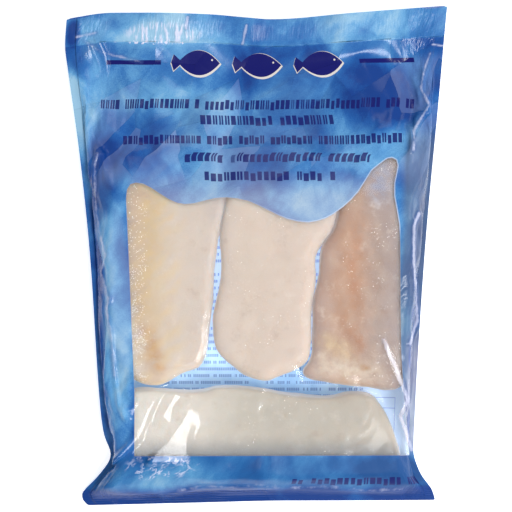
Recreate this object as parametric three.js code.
// A sealed retail bag of frozen cod fillets, lying on its back with the printed front up.
//
// Millimetres, +Z up. The origin is on the table under the middle of the bag: +X runs to the right
// across the front, and +Y up the bag towards its top seal. The bag is one closed solid out to its
// film. Flat heat seals run round all four sides. The upper third is an empty head space that lies
// low, and the lower part is full: its front shows the four fillets as flat-topped mounds with
// sagging film between them, and its sides stand up to a crinkled shoulder. Below the fill the bag
// draws in to a waist and spreads again to the bottom seal, and folds run from there to the bottom
// corners.
import * as THREE from "three";

// The laid bag's outline, as [where along the axis, how far out]. Heights run up the bag from
// its middle, and the left edge counts towards -X.
const LEFT_EDGE = [
  [-155, 105], [-148, 109.5], [-136, 98.3], [-124, 90.3], [-112, 94.6], [-98, 96.8],
  [0, 103.6], [60, 109.8], [120, 118], [135, 119.6], [152, 118.4],
];
const RIGHT_EDGE = [
  [-155, 112.8], [-147, 110.3], [-138, 103.8], [-131, 100.6], [-122, 98.2], [-100, 99],
  [0, 105.2], [135, 118], [152, 119.6],
];
const TOP_EDGE = [[-120, 148], [-90, 152], [-30, 151], [10, 148], [60, 152], [120, 156.6]];
const BOTTOM_EDGE = [[-110, -156.6], [-40, -154.4], [20, -153], [112, -153.2]];
const TOP = 152;
const BOTTOM = -154;
const TOP_EDGE_TURNS_FROM = 90;
const BOTTOM_EDGE_TURNS_FROM = -120;

// The heat seals, and how high the line where front and back part company lies above the table
const SIDE_SEAL = 6;
const TOP_SEAL = 19;
const BOTTOM_SEAL = 7;
const SEAL_THICKNESS = 0.8;
const SEAM_HEIGHT = [[-155, 3], [-140, 8], [-120, 12], [0, 14], [60, 13], [110, 8.5], [132, 7.5], [152, 9]];
const BOTTOM_SEAM_ARCH = 5;
const ARCH_STARTS = -120;
const ARCH_RUN = 30;
const BOTTOM_HALF_WIDTH = 112;

// The film over the fill
const FILLED_HEIGHT = 32;
const SIDE_REACH = 20;
const SIDE_SQUARENESS = 1.7;
const FOOT_REACH = 25;
const FOOT_SQUARENESS = 2.1;
const FILL_SHARPNESS = 3;
const UNDERSIDE_REACH = 20;
const UNDERSIDE_SQUARENESS = 2.2;
const FILM_SAG = 4.5;

// How the film rises from the top seal to the fill: distance below the seal line, and share of the
// filled height above the side seams. Just below the seal it dips under the seam line.
const HEAD_RISE = [[0, 0], [13, -0.14], [43, 0.07], [61, 0.22], [85, 0.68], [103, 0.93], [120, 1]];

// The fillets under the film: centre, width across and length up their own axis, and turn
const FILLETS = [
  { centre: [-56, -7], width: 62, length: 148, turn: -6 },
  { centre: [5, -8], width: 64, length: 144, turn: -1 },
  { centre: [63, -10], width: 60, length: 152, turn: 3 },
  { centre: [3, -107], width: 56, length: 176, turn: 90 },
];
const MOUND_SQUARENESS = 4;

// The main folds of the film: the line that each follows, how far it stands up and its half width
const FOLDS = [
  {
    line: [[-88, 58], [-87, 35], [-91, 22], [-83, 0], [-87, -20], [-81, -50], [-80, -98]],
    rise: 2.2,
    width: 4,
  },
  { line: [[104, 118], [108, 95], [99, 62], [105, 30], [98, 5], [101, -30], [97, -70]], rise: 2.4, width: 4 },
  { line: [[-89, -126], [-74, -112], [-66, -95], [-62, -86]], rise: 3.2, width: 5 },
  { line: [[-66, -127], [-52, -114], [-43, -102], [-38, -92]], rise: -2.4, width: 6 },
  { line: [[99, -121], [93, -104], [92, -88], [84, -70], [78, -55]], rise: 3, width: 5 },
  { line: [[-104, -152], [-90, -146], [-60, -147], [-30, -142], [90, -146]], rise: 1.6, width: 4 },
  { line: [[-115, 130], [-100, 124], [-76, 108], [-60, 90]], rise: 2, width: 6 },
];

// Where the grid has its lines: distances in from each edge, and even steps in between
const SIDE_LINES = [0, 3, SIDE_SEAL, 6.5, 7.5, 9, 11, 14, 18, 23];
const BOTTOM_LINES = [0, 3.5, BOTTOM_SEAL, 8, 10, 13, 17, 22, 28];
const TOP_LINES = [0, 6, 12, TOP_SEAL, 22, 27, 34];
const MIDDLE_COLUMNS = 24;
const MIDDLE_ROWS = 38;

const BAG_COLOUR = 0x4b8cc6;

const lerp = THREE.MathUtils.lerp;
const clamp01 = (t) => THREE.MathUtils.clamp(t, 0, 1);

// A smooth curve through stations, with no swing past any of them
function through(stations, at) {
  const last = stations.length - 1;
  const t = THREE.MathUtils.clamp(at, stations[0][0], stations[last][0]);
  const k = stations.findLastIndex(([place], n) => place <= t && n < last);
  const secant = (n) => (stations[n + 1][1] - stations[n][1]) / (stations[n + 1][0] - stations[n][0]);
  const slope = (n) => {
    if (n === 0 || n === last) return secant(n === 0 ? 0 : last - 1);
    const before = secant(n - 1);
    const after = secant(n);
    return before * after <= 0 ? 0 : (2 * before * after) / (before + after);
  };
  const span = stations[k + 1][0] - stations[k][0];
  const s = (t - stations[k][0]) / span;
  const rise = 3 * s * s - 2 * s * s * s;
  return (
    lerp(stations[k][1], stations[k + 1][1], rise) +
    span * (slope(k) * s * (1 - s) * (1 - s) - slope(k + 1) * s * s * (1 - s))
  );
}

// From 0 at a seam to 1 at the reach, standing up steeply and then rounding over
function puff(distance, reach, squareness) {
  const short = 1 - clamp01(distance / reach);
  return (1 - short ** squareness) ** (1 / squareness);
}

// 1 on top of a fillet, falling to 0 at its rim
function mound({ centre, width, length, turn }, x, y) {
  const local = new THREE.Vector2(x - centre[0], y - centre[1]);
  local.rotateAround(new THREE.Vector2(), -THREE.MathUtils.degToRad(turn));
  const across = Math.abs(local.x / (width / 2)) ** MOUND_SQUARENESS;
  const along = Math.abs(local.y / (length / 2)) ** MOUND_SQUARENESS;
  return Math.sqrt(clamp01(1 - across - along));
}

// The height that a fold adds at a point
function foldRelief({ line, rise, width }, x, y) {
  const here = new THREE.Vector3(x, y, 0);
  const points = line.map(([a, b]) => new THREE.Vector3(a, b, 0));
  const nearest = new THREE.Vector3();
  let distance = Infinity;
  for (let i = 1; i < points.length; i++) {
    new THREE.Line3(points[i - 1], points[i]).closestPointToPoint(here, true, nearest);
    distance = Math.min(distance, nearest.distanceTo(here));
  }
  return rise * Math.exp(-((distance / width) ** 2));
}

// How high the seam line lies: drooping at the bottom corners and arched between them
function seamHeight(x, height) {
  const towardsFoot = clamp01((ARCH_STARTS - height) / ARCH_RUN);
  return through(SEAM_HEIGHT, height) + BOTTOM_SEAM_ARCH * towardsFoot * (1 - (x / BOTTOM_HALF_WIDTH) ** 2);
}

// Front and back heights of the film at one place of the laid bag
function filmHeights(x, height, inLeft, inRight, inBottom, inTop) {
  const seam = seamHeight(x, height);
  const head = through(HEAD_RISE, inTop);
  const sides = puff(inLeft, SIDE_REACH, SIDE_SQUARENESS) * puff(inRight, SIDE_REACH, SIDE_SQUARENESS);
  const open = sides * puff(inBottom, FOOT_REACH, FOOT_SQUARENESS);
  const loose = open * puff(inTop, SIDE_REACH, SIDE_SQUARENESS);
  const filled = open * clamp01(head) ** FILL_SHARPNESS;
  const half = SEAL_THICKNESS / 2;
  const swell = (FILLED_HEIGHT - seam - half) * open * head;
  const bare = 1 - Math.max(...FILLETS.map((fillet) => mound(fillet, x, height)));
  const folds = FOLDS.reduce((sum, fold) => sum + foldRelief(fold, x, height), 0);
  const under = [inLeft, inRight, inBottom, inTop].reduce(
    (down, distance) => down * puff(distance, UNDERSIDE_REACH, UNDERSIDE_SQUARENESS),
    1,
  );
  return {
    front: seam + half + swell - FILM_SAG * bare * filled + folds * loose,
    back: (seam - half) * (1 - under),
  };
}

// Grid lines across a span: fixed distances in from both ends, and even steps between
function gridLines(span, near, far, steps) {
  const start = near[near.length - 1];
  const end = span - far[far.length - 1];
  const even = Array.from({ length: steps - 1 }, (_, k) => lerp(start, end, (k + 1) / steps));
  return [...near, ...even, ...far.map((d) => span - d).reverse()];
}

// One row of the bag: a closed ring of points, along the front to the right and back underneath
function ring(height) {
  const left = -through(LEFT_EDGE, height);
  const right = through(RIGHT_EDGE, height);
  const front = [];
  const back = [];
  for (const across of gridLines(right - left, SIDE_LINES, SIDE_LINES, MIDDLE_COLUMNS)) {
    const x = left + across;
    const inside = (distance, seal) => Math.max(0, distance - seal);
    const { front: high, back: low } = filmHeights(
      x,
      height,
      inside(across, SIDE_SEAL),
      inside(right - x, SIDE_SEAL),
      inside(height - BOTTOM, BOTTOM_SEAL),
      inside(TOP - height, TOP_SEAL),
    );
    const nearTop = THREE.MathUtils.smoothstep(height, TOP_EDGE_TURNS_FROM, TOP);
    const nearBottom = THREE.MathUtils.smoothstep(-height, -BOTTOM_EDGE_TURNS_FROM, -BOTTOM);
    const upper = nearTop * (through(TOP_EDGE, x) - TOP);
    const lower = nearBottom * (through(BOTTOM_EDGE, x) - BOTTOM);
    const y = height + upper + lower;
    front.push([x, y, high]);
    back.unshift([x, y, low]);
  }
  return [...front, ...back];
}

// A closed skin over rings of points, with both ends capped by a strip
function closedSkin(rings) {
  const around = rings[0].length;
  const index = [];
  for (let r = 0; r < rings.length - 1; r++) {
    for (let k = 0; k < around; k++) {
      const next = (k + 1) % around;
      const [a, b] = [r * around + k, r * around + next];
      const [c, d] = [b + around, a + around];
      index.push(a, b, c, a, c, d);
    }
  }
  const capped = (start, order) => {
    for (let k = 0; k < around / 2 - 1; k++) {
      const corners = [k, k + 1, around - 2 - k, around - 1 - k].map((n) => start + n);
      index.push(...order.map((n) => corners[n]));
    }
  };
  capped(0, [3, 2, 1, 3, 1, 0]);
  capped((rings.length - 1) * around, [3, 1, 2, 3, 0, 1]);
  const geometry = new THREE.BufferGeometry();
  geometry.setAttribute("position", new THREE.Float32BufferAttribute(rings.flat(2), 3));
  geometry.setIndex(index);
  geometry.computeVertexNormals();
  return geometry;
}

function bagGeometry() {
  const rows = gridLines(TOP - BOTTOM, BOTTOM_LINES, TOP_LINES, MIDDLE_ROWS);
  return closedSkin(rows.map((up) => ring(BOTTOM + up)));
}

const bag = new THREE.Mesh(
  bagGeometry(),
  new THREE.MeshStandardMaterial({ color: BAG_COLOUR, roughness: 0.25, metalness: 0 }),
);
bag.name = "bag";

const group = new THREE.Group();
group.add(bag);

export default group;
